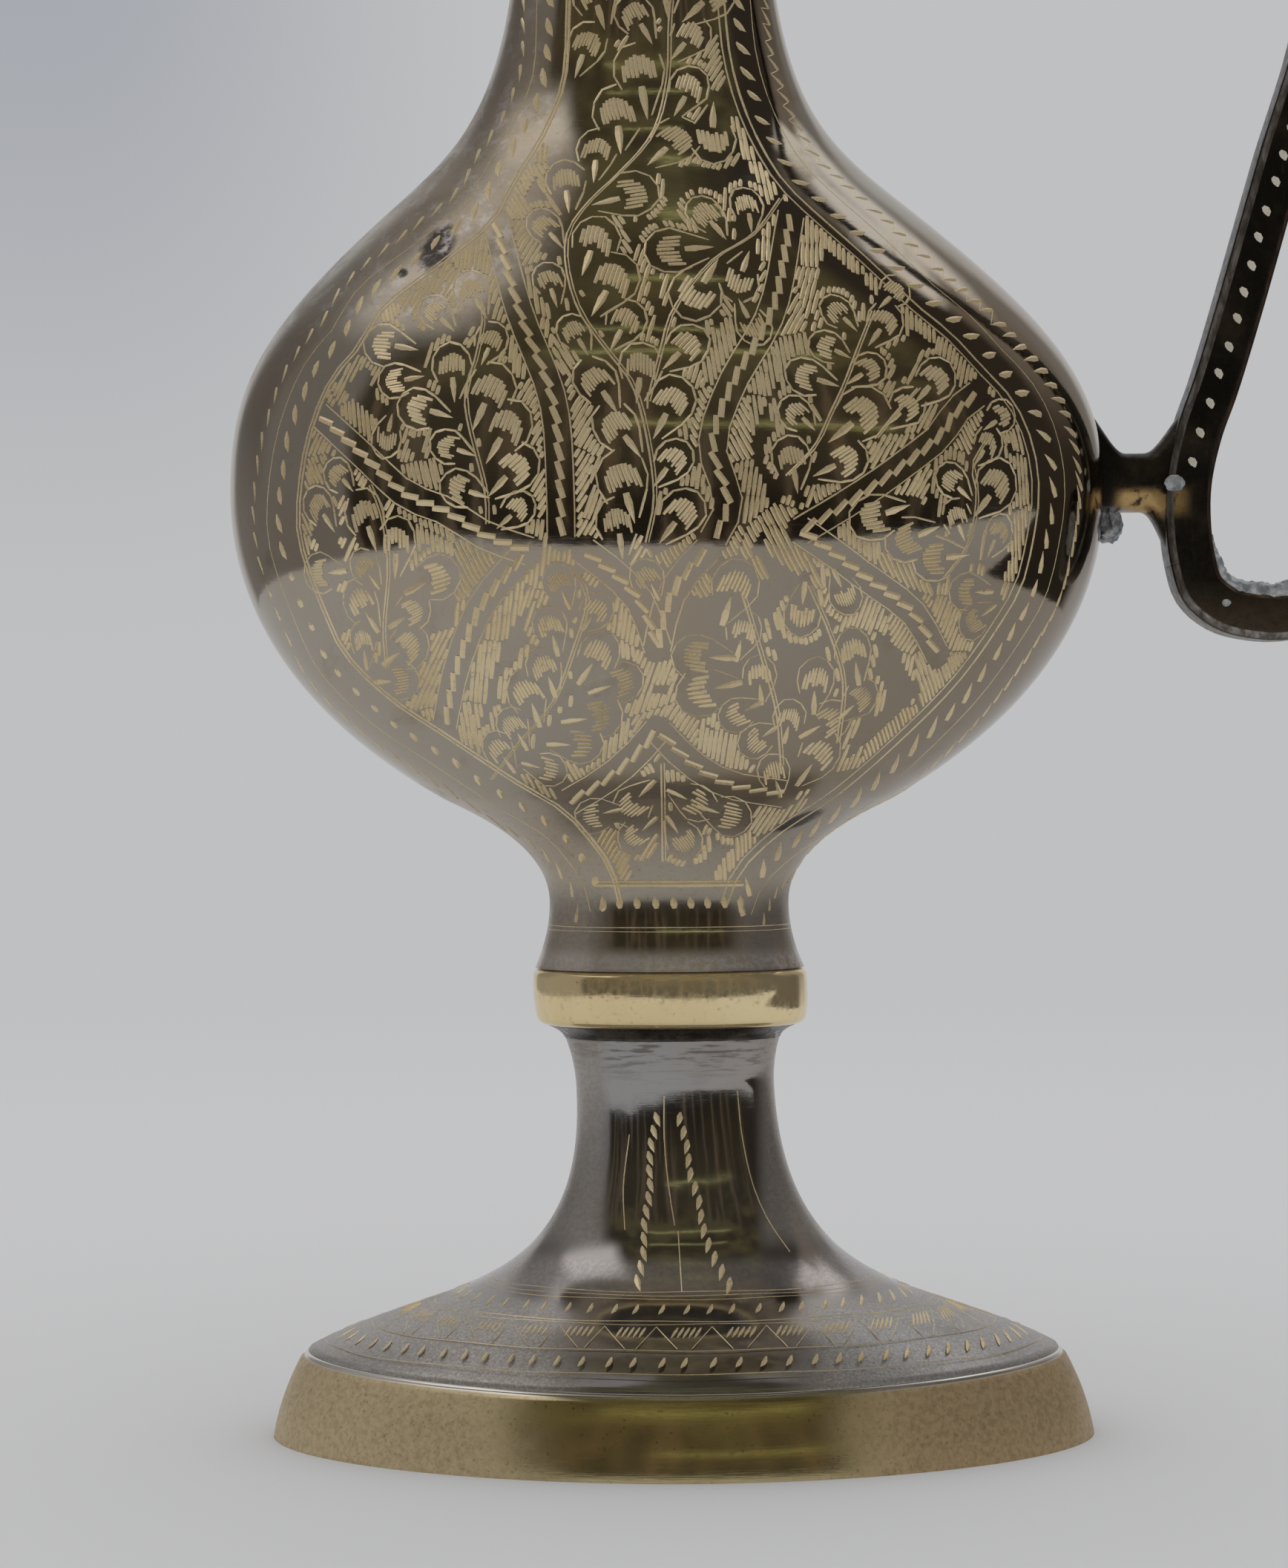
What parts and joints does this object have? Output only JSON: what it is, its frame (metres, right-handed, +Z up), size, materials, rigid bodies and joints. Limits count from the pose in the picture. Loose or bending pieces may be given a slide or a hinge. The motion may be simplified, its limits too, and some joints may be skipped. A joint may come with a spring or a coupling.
{
  "type": "footed jug with handle",
  "caption": "Tinned brass jug with a flattened engraved belly, long neck, flared pouring mouth, oval brass-edged foot and dark cast strap handle.",
  "frame": {"origin": "middle of the bottom of the whole jug's box, in the plane the foot stands on; the foot's own centre is at x = -0.01535", "axes": "+Z up along the vessel's axis, +X towards the handle, -Y towards the viewer of the picture's face"},
  "size_m": [0.1312, 0.062, 0.2612],
  "materials": {
    "tinned_brass": "tinned, worn and polished, engraved through to the brass",
    "bare_brass": "bare brass, polished, with tarnish",
    "dark_bronze": "dark patina on cast metal, rubbed bright at its edges",
    "solder": "dull grey soft solder"
  },
  "bodies": {
    "root": {"foot_skirt": "bare_brass", "foot_pedestal": "tinned_brass", "pedestal_solder": "solder", "collar_ring": "bare_brass", "joint_ferrule": "bare_brass", "vessel_floor": "bare_brass", "body_front_shell": "tinned_brass", "body_back_shell": "tinned_brass", "neck_ring": "bare_brass", "mouth_funnel": "tinned_brass", "rim_band": "bare_brass", "handle_grip": "dark_bronze", "handle_strut": "dark_bronze", "handle_tail": "dark_bronze", "tail_solder": "solder", "strut_solder": "solder", "handle_top_pad": "dark_bronze"}
  },
  "joints": []
}
